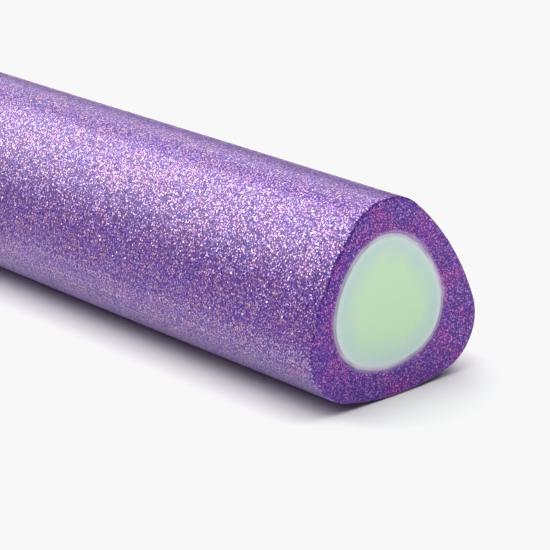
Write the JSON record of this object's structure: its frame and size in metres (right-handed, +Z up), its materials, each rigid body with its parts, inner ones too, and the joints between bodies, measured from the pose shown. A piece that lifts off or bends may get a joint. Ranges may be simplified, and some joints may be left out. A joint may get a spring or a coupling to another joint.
{
  "type": "juggling stick",
  "caption": "Straight hand stick for a flower stick or devil stick: fibreglass rod in a rounded triangular glitter silicone sleeve, cut flush at both ends.",
  "frame": {"origin": "under the middle of the stick's length and width, on the surface that it lies on", "axes": "+X along the stick, +Z up through the rounded corner opposite the side that it lies on, +Y across it"},
  "size_m": [0.45, 0.0154, 0.0148],
  "materials": {
    "fibreglass": "matte",
    "clear_adhesive": "satin",
    "glitter_silicone": "satin"
  },
  "bodies": {
    "root": {"core_rod": "fibreglass", "bond_layer": "clear_adhesive", "grip_sleeve": "glitter_silicone"}
  },
  "joints": []
}
